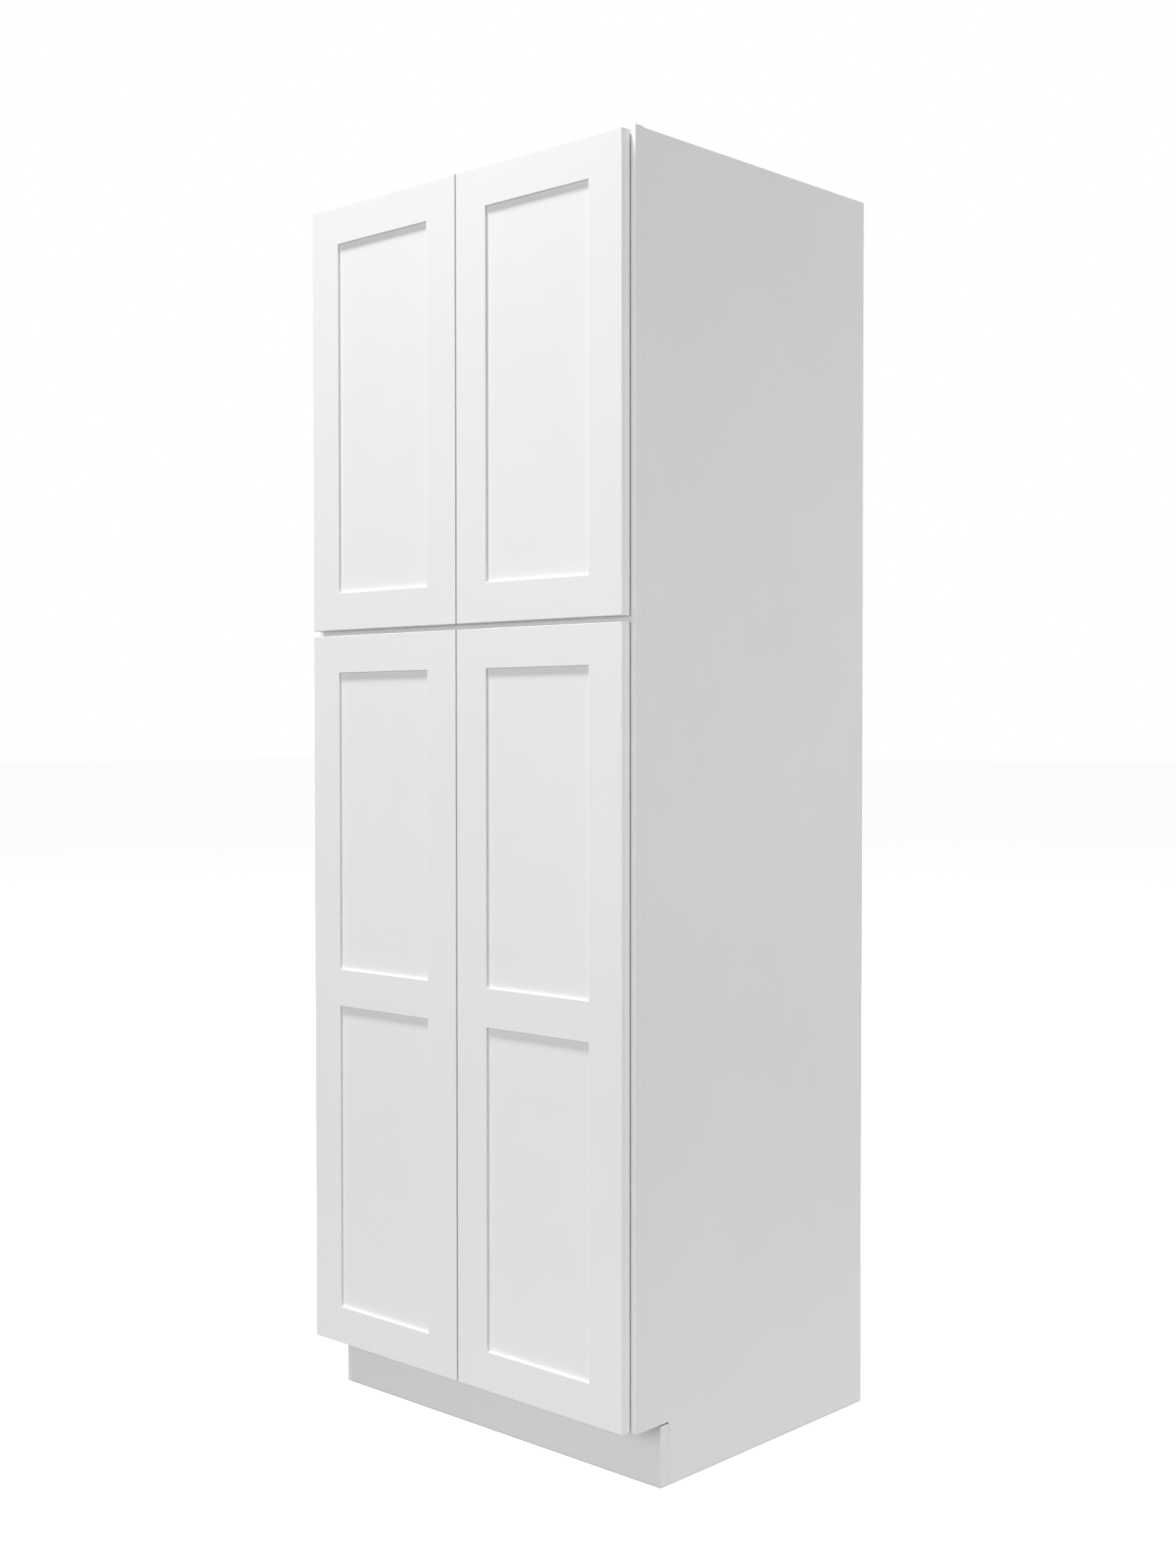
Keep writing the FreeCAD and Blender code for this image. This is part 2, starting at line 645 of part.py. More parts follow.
def make_door(level, side_name, patterns):
    door = DOORS[level]
    side = SIDES[side_name]
    prefix = "%s_%s_" % (level, side_name)
    middle = "%d * (hinge_edge - door_width / 2)" % side
    bottom, top = door["bottom"], door["top"]
    above_bottom = {
        "bottom": "hinge_inset",
        "middle": "(%s - %s) / 2" % (top, bottom),
        "top": "%s - %s - hinge_inset" % (top, bottom),
    }
    hinge_heights = [above_bottom[name] for name in door["hinges"]]
    places = hinge_places(level, side)

    screws = keep(repeated(prefix + "cup_screws", patterns["cup_screws"], places))
    keep(repeated(prefix + "hinge_cups", patterns["cup"], places))
    bored = make_stile(prefix + "hinge_stile", level, "%d * hinge_edge" % side, side > 0, hinge_heights)
    keep(cut(prefix + "hinge_stile", bored, screws))
    free_stile = make_stile(prefix + "free_stile", level, "%d * centre_gap / 2" % side, side < 0, [])
    free_stile.Label = prefix + "free_stile"
    keep(free_stile)

    make_rail(prefix + "top_rail", middle, top, groove_below=False, turned=True)
    make_rail(prefix + "bottom_rail", middle, bottom, groove_below=False)
    panel_bottom = bottom + " + door_rail_height"
    panel_top = top + " - door_rail_height"
    if level == "upper":
        make_panel(prefix + "panel", middle, panel_bottom, panel_top)
    else:
        rail_bottom = "middle_rail_centre - door_rail_height / 2"
        rail_top = "middle_rail_centre + door_rail_height / 2"
        make_rail(prefix + "middle_rail", middle, rail_bottom, groove_below=True)
        make_panel(prefix + "bottom_panel", middle, panel_bottom, rail_bottom)
        make_panel(prefix + "top_panel", middle, rail_top, panel_top)

    bumpers = []
    for name, height in (("bottom", bottom + " + bumper_inset"), ("top", top + " - bumper_inset")):
        start = ("%d * (centre_gap / 2 + bumper_edge_distance)" % side, "door_back", height)
        bumpers.append(cylinder(prefix + name + "_bumper", start, "bumper_radius",
                                "door_gap - bumper_play", ALONG_Y))
    keep(group(prefix + "bumpers", bumpers))


# ---- the whole cabinet ----------------------------------------------------------------------------------

all_dowels = make_dowels()
for side_name in SIDES:
    make_side_panel(side_name, all_dowels)
make_decks(all_dowels)
make_back()
frame_screws = make_frame_hinge_parts()
make_face_frame(all_dowels, frame_screws)
make_toe_kick()
make_shelves()
hinge_patterns = {"cup": cup_pattern(), "cup_screws": cup_screw_pattern()}
for level_name in DOORS:
    for side_name in SIDES:
        make_door(level_name, side_name, hinge_patterns)

doc.recompute()
faults = [item.Name for item in doc.Objects if "Invalid" in item.State or "Error" in item.State]
faults += [item.Label for item in nodes if item.Shape.isNull() or not item.Shape.isValid()]
if faults:
    raise RuntimeError("these objects failed: " + ", ".join(faults))

os.makedirs("parts", exist_ok=True)
for item in nodes:
    item.Shape.exportStep(os.path.join("parts", item.Label + ".step"))
print(len(nodes), "pieces written")
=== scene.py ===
import math

import bmesh
import bpy
from mathutils import Euler, Matrix, Vector
from mathutils.geometry import tessellate_polygon


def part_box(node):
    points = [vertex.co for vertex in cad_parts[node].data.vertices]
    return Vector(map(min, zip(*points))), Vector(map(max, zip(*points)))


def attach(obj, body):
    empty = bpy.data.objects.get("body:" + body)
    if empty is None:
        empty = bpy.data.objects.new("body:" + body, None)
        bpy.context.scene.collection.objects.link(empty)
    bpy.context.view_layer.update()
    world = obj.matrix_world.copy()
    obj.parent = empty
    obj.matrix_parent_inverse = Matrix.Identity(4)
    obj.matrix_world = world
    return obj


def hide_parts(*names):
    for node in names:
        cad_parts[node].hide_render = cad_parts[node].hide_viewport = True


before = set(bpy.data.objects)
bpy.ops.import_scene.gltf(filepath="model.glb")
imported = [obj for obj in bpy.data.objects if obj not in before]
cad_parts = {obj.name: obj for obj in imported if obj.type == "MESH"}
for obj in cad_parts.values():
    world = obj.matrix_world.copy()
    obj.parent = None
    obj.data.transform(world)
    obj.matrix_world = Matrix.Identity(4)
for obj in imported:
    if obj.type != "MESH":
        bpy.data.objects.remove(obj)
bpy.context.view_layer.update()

# A white framed pantry cabinet: plywood boxes behind a painted face frame, and four shaker doors that hide
# their hinges. Everything is in metres. The doors face -Y, the wall is at +Y and the floor is at Z = 0.

X, Y, Z = 0, 1, 2
MM = 0.001
GRAIN_MAP = "Grain"

# A door's side is -1 when it hangs on the left and 1 on the right. Each of its panels is named with the
# rails below and above it.
UPPER_PANELS = {"panel": ("bottom_rail", "top_rail")}
LOWER_PANELS = {
    "bottom_panel": ("bottom_rail", "middle_rail"),
    "top_panel": ("middle_rail", "top_rail"),
}
DOORS = {
    "upper_left": {"side": -1, "panels": UPPER_PANELS},
    "upper_right": {"side": 1, "panels": UPPER_PANELS},
    "lower_left": {"side": -1, "panels": LOWER_PANELS},
    "lower_right": {"side": 1, "panels": LOWER_PANELS},
}
SHELVES = [
    "lower_shelf_bottom", "lower_shelf_middle", "lower_shelf_top",
    "upper_shelf_bottom", "upper_shelf_top",
]

# Each board's number sets where its grain starts, so that no two boards look the same.
DECK_NUMBER, SHELF_NUMBER, BACK_NUMBER, HANGING_NUMBER = 3, 6, 12, 13
STILE_NUMBER, RAIL_NUMBER, TOE_NUMBER, DOOR_NUMBER, DOOR_NUMBER_STEP = 20, 22, 25, 30, 10
PANEL_NUMBER_SHIFT = 6
GRAIN_SHIFT_ALONG = 1.3
GRAIN_SHIFT_ACROSS = 0.37


# ---- materials ------------------------------------------------------------------------------------------

VENEER_LEAF_WIDTH = 0.29
LEAF_OFFSET = 7.0
PLY_THICKNESS = 1.41 * MM
FINE_BUMP = 0.2 * MM


def link_or_set(tree, socket, value):
    if isinstance(value, bpy.types.NodeSocket):
        tree.links.new(value, socket)
    else:
        socket.default_value = value


def math_node(tree, operation, first, second=0.0):
    node = tree.nodes.new("ShaderNodeMath")
    node.operation = operation
    link_or_set(tree, node.inputs[0], first)
    link_or_set(tree, node.inputs[1], second)
    return node.outputs[0]


def stretched(tree, vector, scale):
    node = tree.nodes.new("ShaderNodeMapping")
    node.inputs["Scale"].default_value = scale
    tree.links.new(vector, node.inputs["Vector"])
    return node.outputs["Vector"]


def noise(tree, vector, scale, detail=3.0, roughness=0.5, distortion=0.0):
    node = tree.nodes.new("ShaderNodeTexNoise")
    tree.links.new(vector, node.inputs["Vector"])
    node.inputs["Scale"].default_value = scale
    node.inputs["Detail"].default_value = detail
    node.inputs["Roughness"].default_value = roughness
    node.inputs["Distortion"].default_value = distortion
    return node.outputs[0]


def spread(tree, factor, low, high, start=0.3, end=0.7):
    """Turn a noise into a value that runs from low to high."""
    node = tree.nodes.new("ShaderNodeMapRange")
    tree.links.new(factor, node.inputs["Value"])
    node.inputs["From Min"].default_value = start
    node.inputs["From Max"].default_value = end
    node.inputs["To Min"].default_value = low
    node.inputs["To Max"].default_value = high
    return node.outputs["Result"]


def ramp(tree, factor, stops):
    node = tree.nodes.new("ShaderNodeValToRGB")
    tree.links.new(factor, node.inputs["Fac"])
    elements = node.color_ramp.elements
    while len(elements) < len(stops):
        elements.new(0.5)
    for element, (position, colour) in zip(elements, stops):
        element.position = position
        element.color = (*colour, 1.0)
    return node.outputs["Color"]


def blended(tree, kind, factor, first, second):
    """Mix two colours. kind is Blender's name for the way of mixing."""
    node = tree.nodes.new("ShaderNodeMix")
    node.data_type = "RGBA"
    node.blend_type = kind
    link_or_set(tree, node.inputs["Factor"], factor)
    link_or_set(tree, node.inputs["A"], first)
    link_or_set(tree, node.inputs["B"], second)
    return node.outputs["Result"]


def bump(tree, height, strength, distance, normal=None):
    node = tree.nodes.new("ShaderNodeBump")
    node.inputs["Strength"].default_value = strength
    node.inputs["Distance"].default_value = distance
    tree.links.new(height, node.inputs["Height"])
    if normal is not None:
        tree.links.new(normal, node.inputs["Normal"])
    return node.outputs["Normal"]


def material_tree(name, **settings):
    """A new material, its node tree, its shader and its object coordinates."""
    material = bpy.data.materials.new(name)
    material.use_nodes = True
    tree = material.node_tree
    shader = tree.nodes["Principled BSDF"]
    for socket, value in settings.items():
        shader.inputs[socket.replace("_", " ")].default_value = value
    coordinates = tree.nodes.new("ShaderNodeTexCoord").outputs["Object"]
    return material, tree, shader, coordinates


def grain_coordinates(tree):
    """The map that runs along a board's grain in U and across it in V."""
    node = tree.nodes.new("ShaderNodeUVMap")
    node.uv_map = GRAIN_MAP
    return node.outputs["UV"]


def separated(tree, vector):
    """The outputs that hold a vector's parts, by name."""
    node = tree.nodes.new("ShaderNodeSeparateXYZ")
    tree.links.new(vector, node.inputs["Vector"])
    return node.outputs


def random_value(tree, number):
    """A random value that stays the same over one whole number."""
    node = tree.nodes.new("ShaderNodeTexWhiteNoise")
    node.noise_dimensions = "1D"
    tree.links.new(number, node.inputs["W"])
    return node.outputs["Value"]


def finish_shader(tree, shader, colour, roughness, normal):
    tree.links.new(colour, shader.inputs["Base Color"])
    tree.links.new(roughness, shader.inputs["Roughness"])
    tree.links.new(normal, shader.inputs["Normal"])


def paint_material():
    """Sprayed satin white: a faint orange peel over the last trace of the grain."""
    material, tree, shader, place = material_tree("white_paint")
    grain = grain_coordinates(tree)
    tone = ramp(tree, noise(tree, place, 2.3, 4.0), [
        (0.35, (0.885, 0.885, 0.883)),
        (0.65, (0.905, 0.905, 0.903)),
    ])
    streaks = noise(tree, stretched(tree, grain, (5.0, 260.0, 1.0)), 1.0, 3.0)
    toned = blended(tree, "MULTIPLY", 1.0, tone, ramp(tree, streaks, [
        (0.3, (0.992, 0.992, 0.992)),
        (0.7, (1.0, 1.0, 1.0)),
    ]))
    peel = noise(tree, place, 430.0, 2.0)
    normal = bump(tree, streaks, 0.05, FINE_BUMP)
    normal = bump(tree, peel, 0.07, FINE_BUMP, normal)
    roughness = spread(tree, noise(tree, place, 18.0, 4.0), 0.34, 0.44)
    finish_shader(tree, shader, toned, roughness, normal)
    return material


def veneer_material():
    """Clear-coated maple veneer, laid in leaves that run along the grain."""
    material, tree, shader, _ = material_tree("maple_veneer", Coat_Weight=0.25, Coat_Roughness=0.25)
    grain = grain_coordinates(tree)
    parts = separated(tree, grain)
    leaf = math_node(tree, "FLOOR", math_node(tree, "DIVIDE", parts["Y"], VENEER_LEAF_WIDTH))
    leaf_chance = random_value(tree, leaf)
    sway = spread(tree, noise(tree, stretched(tree, grain, (1.6, 5.0, 1.0)), 1.0, 2.0), -0.05, 0.05)
    across = math_node(tree, "ADD", parts["Y"], sway)
    leaf_offset = math_node(tree, "MULTIPLY", leaf_chance, LEAF_OFFSET)
    along = math_node(tree, "ADD", parts["X"], leaf_offset)
    joined = tree.nodes.new("ShaderNodeCombineXYZ")
    tree.links.new(along, joined.inputs["X"])
    tree.links.new(across, joined.inputs["Y"])
    figure_place = stretched(tree, joined.outputs["Vector"], (0.9, 26.0, 1.0))
    figure = noise(tree, figure_place, 1.0, 5.0, 0.55, 0.3)
    colour = ramp(tree, figure, [
        (0.25, (0.560, 0.395, 0.228)),
        (0.45, (0.690, 0.520, 0.330)),
        (0.60, (0.745, 0.580, 0.385)),
        (0.80, (0.640, 0.465, 0.285)),
    ])
    fibres = noise(tree, stretched(tree, grain, (22.0, 1500.0, 1.0)), 1.0, 3.0, 0.6)
    colour = blended(tree, "MULTIPLY", 1.0, colour, ramp(tree, fibres, [
        (0.30, (0.86, 0.83, 0.79)),
        (0.55, (1.0, 1.0, 1.0)),
    ]))
    leaf_tone = ramp(tree, leaf_chance, [(0.0, (0.93, 0.92, 0.90)), (1.0, (1.0, 1.0, 1.0))])
    colour = blended(tree, "MULTIPLY", 1.0, colour, leaf_tone)
    normal = bump(tree, fibres, 0.18, FINE_BUMP)
    roughness = spread(tree, figure, 0.36, 0.50)
    finish_shader(tree, shader, colour, roughness, normal)
    return material


def ply_edge_material():
    """The edge of the plywood: thin plies laid crosswise, with long grain and end grain in turn."""
    material, tree, shader, _ = material_tree("plywood_edge")
    grain = grain_coordinates(tree)
    waves = noise(tree, stretched(tree, grain, (9.0, 60.0, 1.0)), 1.0, 2.0)
    ripple = spread(tree, waves, -0.15 * MM, 0.15 * MM)
    rippled = math_node(tree, "ADD", separated(tree, grain)["Y"], ripple)
    depth = math_node(tree, "DIVIDE", rippled, PLY_THICKNESS)
    ply = math_node(tree, "FLOOR", depth)
    crosswise = math_node(tree, "MODULO", math_node(tree, "ADD", ply, 100.0), 2.0)
    long_fibres = noise(tree, stretched(tree, grain, (30.0, 2600.0, 1.0)), 1.0, 3.0, 0.6)
    end_fibres = noise(tree, stretched(tree, grain, (2300.0, 1700.0, 1.0)), 1.0, 2.0, 0.6)
    long_colour = ramp(tree, long_fibres, [(0.3, (0.52, 0.36, 0.205)), (0.7, (0.70, 0.53, 0.34))])
    end_colour = ramp(tree, end_fibres, [(0.3, (0.20, 0.115, 0.055)), (0.7, (0.42, 0.28, 0.155))])
    colour = blended(tree, "MIX", crosswise, long_colour, end_colour)
    ply_tone = ramp(tree, random_value(tree, ply), [(0.0, (0.84, 0.82, 0.79)), (1.0, (1.0, 1.0, 1.0))])
    colour = blended(tree, "MULTIPLY", 1.0, colour, ply_tone)
    edge_distance = math_node(tree, "PINGPONG", depth, 0.5)
    glue = ramp(tree, edge_distance, [(0.02, (0.45, 0.36, 0.28)), (0.10, (1.0, 1.0, 1.0))])
    colour = blended(tree, "MULTIPLY", 1.0, colour, glue)
    normal = bump(tree, end_fibres, 0.3, FINE_BUMP)
    normal = bump(tree, edge_distance, 0.2, 0.1 * MM, normal)
    roughness = spread(tree, end_fibres, 0.62, 0.82)
    finish_shader(tree, shader, colour, roughness, normal)
    return material


def dowel_material():
    """Turned beech, with short dark flecks along it."""
    material, tree, shader, place = material_tree("dowel_wood")
    flecks = noise(tree, stretched(tree, place, (60.0, 900.0, 900.0)), 1.0, 3.0, 0.6)
    colour = ramp(tree, flecks, [(0.3, (0.40, 0.25, 0.13)), (0.65, (0.62, 0.44, 0.27))])
    roughness = spread(tree, flecks, 0.5, 0.7)
    finish_shader(tree, shader, colour, roughness, bump(tree, flecks, 0.3, FINE_BUMP))
    return material


def steel_material():
    """Nickel-plated steel, lightly brushed by the press tools."""
    material, tree, shader, place = material_tree("nickel_steel", Metallic=1.0)
    clouds = noise(tree, place, 90.0, 4.0)
    brushing = noise(tree, stretched(tree, place, (2600.0, 2600.0, 240.0)), 1.0, 2.0)
    colour = ramp(tree, clouds, [(0.3, (0.56, 0.545, 0.52)), (0.7, (0.68, 0.665, 0.64))])
    roughness = spread(tree, clouds, 0.20, 0.34)
    finish_shader(tree, shader, colour, roughness, bump(tree, brushing, 0.12, 0.05 * MM))
    return material


def bumper_material():
    """Frosted soft plastic that lets some light through."""
    material, tree, shader, place = material_tree("bumper_plastic", Transmission_Weight=0.45, IOR=1.49)
    clouds = noise(tree, place, 700.0, 3.0)
    colour = ramp(tree, clouds, [(0.3, (0.78, 0.78, 0.76)), (0.7, (0.88, 0.88, 0.87))])
    roughness = spread(tree, clouds, 0.30, 0.45)
    finish_shader(tree, shader, colour, roughness, bump(tree, clouds, 0.1, 0.1 * MM))
    return material


def floor_material():
    """A pale, matt studio floor that glows a little, to be as bright as what is behind it."""
    material, tree, shader, place = material_tree("studio_floor", Emission_Strength=FLOOR_GLOW)
    clouds = noise(tree, place, 0.8, 4.0)
    grit = noise(tree, place, 240.0, 2.0)
    colour = ramp(tree, clouds, [(0.35, (0.975, 0.975, 0.975)), (0.65, (0.995, 0.995, 0.995))])
    roughness = spread(tree, grit, 0.75, 0.9)
    finish_shader(tree, shader, colour, roughness, bump(tree, grit, 0.05, FINE_BUMP))
    return material


PAINT = paint_material()
VENEER = veneer_material()
PLY_EDGE = ply_edge_material()
DOWEL = dowel_material()
STEEL = steel_material()
BUMPER = bumper_material()


# ---- shapes ---------------------------------------------------------------------------------------------

CORNER_STEPS = 6
EASED_ANGLE = math.radians(30.0)
BEVELLED_ANGLE = math.radians(35.0)
SHARP_ANGLE = math.radians(35.0)


def in_mm(pairs):
    return [(first * MM, second * MM) for first, second in pairs]


def block(low, high):
    """A closed box between two corners."""
    bm = bmesh.new()
    bmesh.ops.create_cube(bm, size=1.0)
    low, high = Vector(low), Vector(high)
    for vertex in bm.verts:
        share = vertex.co + Vector((0.5, 0.5, 0.5))
        vertex.co = Vector([low[axis] + share[axis] * (high[axis] - low[axis]) for axis in range(3)])
    return bm


def prism(outline, axis, start, end):
    """A closed outline, given in the other two axes in order, drawn out along an axis."""
    bm = bmesh.new()
    rings = []
    for level in (start, end):
        ring = []
        for first, second in outline:
            point = [first, second]
            point.insert(axis, level)
            ring.append(bm.verts.new(point))
        rings.append(ring)
    count = len(outline)
    for number in range(count):
        following = (number + 1) % count
        bm.faces.new((rings[0][number], rings[0][following], rings[1][following], rings[1][number]))
    bm.faces.new(rings[0])
    bm.faces.new(rings[1])
    bmesh.ops.recalc_face_normals(bm, faces=bm.faces[:])
    return bm


def arc_points(centre, radius, start, end, steps):
    """Points round part of a circle, with the angles in degrees."""
    points = []
    for number in range(steps + 1):
        angle = math.radians(start + (end - start) * number / steps)
        points.append((centre[0] + radius * math.cos(angle), centre[1] + radius * math.sin(angle)))
    return points


def circle(centre, radius, steps):
    return arc_points(centre, radius, 0.0, 360.0, steps)[:-1]


def rounded_rectangle(low, high, radius):
    inner_low = (low[0] + radius, low[1] + radius)
    inner_high = (high[0] - radius, high[1] - radius)
    return (
        arc_points(inner_high, radius, 0, 90, CORNER_STEPS)
        + arc_points((inner_low[0], inner_high[1]), radius, 90, 180, CORNER_STEPS)
        + arc_points(inner_low, radius, 180, 270, CORNER_STEPS)
        + arc_points((inner_high[0], inner_low[1]), radius, 270, 360, CORNER_STEPS)
    )


def turned(profile, steps):
    """A solid turned round the Z axis from (radius, height) pairs. The first and last radius are zero."""
    bm = bmesh.new()
    bottom = bm.verts.new((0.0, 0.0, profile[0][1]))
    top = bm.verts.new((0.0, 0.0, profile[-1][1]))
    rings = []
    for radius, height in profile[1:-1]:
        rings.append([bm.verts.new((x, y, height)) for x, y in circle((0.0, 0.0), radius, steps)])
    for number in range(steps):
        following = (number + 1) % steps
        bm.faces.new((bottom, rings[0][following], rings[0][number]))
        bm.faces.new((top, rings[-1][number], rings[-1][following]))
        for lower, upper in zip(rings, rings[1:]):
            bm.faces.new((lower[number], lower[following], upper[following], upper[number]))
    bmesh.ops.recalc_face_normals(bm, faces=bm.faces[:])
    return bm


def linked(name, data):
    """A new object in the scene, for a mesh, a light or a camera."""
    item = bpy.data.objects.new(name, data)
    bpy.context.scene.collection.objects.link(item)
    return item


def temporary_object(bm):
    mesh = bpy.data.meshes.new("tool")
    bm.to_mesh(mesh)
    bm.free()
    return linked("tool", mesh)


def combined(base, tools, bevel=0.0):
    """Join and cut solids, and then round the sharp edges. tools holds (operation, bmesh) pairs."""
    target = temporary_object(base)
    others = []
    for operation, bm in tools:
        other = temporary_object(bm)
        modifier = target.modifiers.new("shape", "BOOLEAN")
        modifier.operation = operation
        modifier.solver = "EXACT"
        modifier.object = other
        others.append(other)
    if bevel:
        modifier = target.modifiers.new("ease", "BEVEL")
        modifier.width = bevel
        modifier.segments = 2
        modifier.limit_method = "ANGLE"
        modifier.angle_limit = BEVELLED_ANGLE
    bpy.context.view_layer.update()
    graph = bpy.context.evaluated_depsgraph_get()
    result = bpy.data.meshes.new_from_object(target.evaluated_get(graph))
    bm = bmesh.new()
    bm.from_mesh(result)
    bpy.data.meshes.remove(result)
    for item in [target, *others]:
        mesh = item.data
        bpy.data.objects.remove(item)
        bpy.data.meshes.remove(mesh)
    return bm


def eased(bm, width):
    """Round a solid's sharp edges a little."""
    edges = [edge for edge in bm.edges if edge.calc_face_angle(0.0) > EASED_ANGLE]
    bmesh.ops.bevel(bm, geom=edges, offset=width, segments=3, profile=0.5, affect="EDGES")
    return bm


def together(solids):
    """Several solids as one mesh, none of them touching another."""
    result = bmesh.new()
    for bm in solids:
        mesh = bpy.data.meshes.new("part")
        bm.to_mesh(mesh)
        bm.free()
        result.from_mesh(mesh)
        bpy.data.meshes.remove(mesh)
    return result


def copies(pattern, places):
    """One mesh with a copy of the pattern at each place."""
    mesh = bpy.data.meshes.new("pattern")
    pattern.to_mesh(mesh)
    pattern.free()
    result = bmesh.new()
    for place in places:
        start = len(result.verts)
        result.from_mesh(mesh)
        result.verts.ensure_lookup_table()
        bmesh.ops.transform(result, matrix=place, verts=result.verts[start:])
    bpy.data.meshes.remove(mesh)
    return result


def lay_grain(bm, grain, thickness, number, veneered=()):
    """Map each face in metres with U along the grain, and give the edges the second material.

    number is the board's own and shifts the map. A long edge on a side named in veneered, -1 or 1, is
    banded to match the faces.
    """
    across = 3 - grain - thickness
    base = [min(vertex.co[axis] for vertex in bm.verts) for axis in range(3)]
    layer = bm.loops.layers.uv.get(GRAIN_MAP) or bm.loops.layers.uv.new(GRAIN_MAP)
    for face in bm.faces:
        normal = face.normal
        facing = max(range(3), key=lambda axis: abs(normal[axis]))
        banded = facing == across and math.copysign(1, normal[facing]) in veneered
        along = across if facing == grain else grain
        side = across if facing == thickness else thickness
        is_face = facing == thickness or banded
        face.material_index = 0 if is_face else 1
        for loop in face.loops:
            point = loop.vert.co
            shift = GRAIN_SHIFT_ACROSS * number if is_face else 0.0
            along_grain = point[along] + GRAIN_SHIFT_ALONG * number
            loop[layer].uv = (along_grain, point[side] - base[side] + shift)


def piece(bm, name, body, materials, nodes=()):
    """Turn a mesh into one of the cabinet's shown pieces."""
    mesh = bpy.data.meshes.new(name)
    bm.to_mesh(mesh)
    bm.free()
    for material in materials:
        mesh.materials.append(material)
    mesh.shade_smooth()
    mesh.set_sharp_from_angle(angle=SHARP_ANGLE)
    item = linked(name, mesh)
    modifier = item.modifiers.new("flat_faces", "WEIGHTED_NORMAL")
    modifier.keep_sharp = True
    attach(item, body)
    if nodes:
        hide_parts(*nodes)
    return item


# ---- carcass --------------------------------------------------------------------------------------------

WOOD = [VENEER, PLY_EDGE]
PAINTED = [PAINT, PAINT]
BOARD_EASE = 0.4 * MM
FRAME_EASE = 0.35 * MM
TOE_EASE = 0.6 * MM
SKIN = 0.3 * MM
HANGING_RAIL_HEIGHT = 88.9 * MM
PIN_HOLE_RADIUS = 2.5 * MM
PIN_HOLE_DEPTH = 9.0 * MM
HOLE_OVERCUT = 2.0 * MM
PIN_SPACING = 50.8 * MM
PIN_ROW_INSET = 50.8 * MM
PIN_ROWS = {"lower": (241.3 * MM, 20), "upper": (1495.4 * MM, 11)}


def wooden_board(name, node, grain, thickness, number, veneered=()):
    """A bare plywood board. grain is the axis it runs along and thickness the axis through it."""
    bm = eased(block(*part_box(node)), BOARD_EASE)
    lay_grain(bm, grain, thickness, number, veneered)
    piece(bm, name, "cabinet", WOOD, [node])


def painted_board(name, node, grain, number, ease):
    """A painted board that faces the front."""
    bm = eased(block(*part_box(node)), ease)
    lay_grain(bm, grain, Y, number)
    piece(bm, name, "cabinet", PAINTED, [node])


def pin_row_places():
    """Where the two rows of shelf-pin holes run, front and back."""
    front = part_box("left_side_panel")[0].y + PIN_ROW_INSET
    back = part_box("middle_deck")[1].y - PIN_ROW_INSET
    return front, back


def make_side(side_name, side, number):
    """A plywood side with a toe notch and shelf-pin holes, and the painted skin on its outer face."""
    low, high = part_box(side_name + "_side_panel")
    notch_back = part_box("toe_kick_board")[1].y
    notch_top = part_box("frame_bottom_rail")[0].z
    outline = [
        (low.y, notch_top), (notch_back, notch_top), (notch_back, low.z),
        (high.y, low.z), (high.y, high.z), (low.y, high.z),
    ]
    outer, inner = (low.x, high.x) if side < 0 else (high.x, low.x)
    skin_inner = outer - side * SKIN
    core = eased(prism(outline, X, *sorted((skin_inner, inner))), BOARD_EASE)
    holes = []
    for start, count in PIN_ROWS.values():
        for along in pin_row_places():
            for step in range(count):
                centre = (along, start + step * PIN_SPACING)
                ends = sorted((inner - side * HOLE_OVERCUT, inner + side * PIN_HOLE_DEPTH))
                holes.append(prism(circle(centre, PIN_HOLE_RADIUS, 20), X, *ends))
    core = combined(core, [("DIFFERENCE", together(holes))])
    lay_grain(core, Z, X, number)
    node = side_name + "_side_panel"
    piece(core, side_name + "_side_board", "cabinet", WOOD, [node])
    skin = prism(outline, X, *sorted((skin_inner, outer)))
    lay_grain(skin, Z, X, number)
    piece(skin, side_name + "_side_finish", "cabinet", PAINTED)


def make_carcass():
    make_side("left", -1, 1)
    make_side("right", 1, 2)
    for number, node in enumerate(["top_panel", "middle_deck", "bottom_deck"], start=DECK_NUMBER):
        wooden_board(node + "_board", node, X, Z, number)
    for number, node in enumerate(SHELVES, start=SHELF_NUMBER):
        wooden_board(node + "_board", node, X, Z, number, veneered=(-1,))
    wooden_board("back_board", "back_panel", Z, Y, BACK_NUMBER)
    low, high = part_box("hanging_rails")
    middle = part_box("middle_deck")[1].z - HANGING_RAIL_HEIGHT / 2
    rails = []
    for bottom in (low.z, middle, high.z - HANGING_RAIL_HEIGHT):
        top = bottom + HANGING_RAIL_HEIGHT
        rail = eased(block((low.x, low.y, bottom), (high.x, high.y, top)), BOARD_EASE)
        lay_grain(rail, X, Y, HANGING_NUMBER + len(rails))
        rails.append(rail)
    piece(together(rails), "hanging_rail_boards", "cabinet", WOOD, ["hanging_rails"])


def make_face_frame():
    for number, node in enumerate(["frame_left_stile", "frame_right_stile"], start=STILE_NUMBER):
        painted_board(node + "_board", node, Z, number, FRAME_EASE)
    rails = ["frame_top_rail", "frame_middle_rail", "frame_bottom_rail"]
    for number, node in enumerate(rails, start=RAIL_NUMBER):
        painted_board(node + "_board", node, X, number, FRAME_EASE)
    painted_board("toe_kick", "toe_kick_board", X, TOE_NUMBER, TOE_EASE)


# ---- doors ----------------------------------------------------------------------------------------------

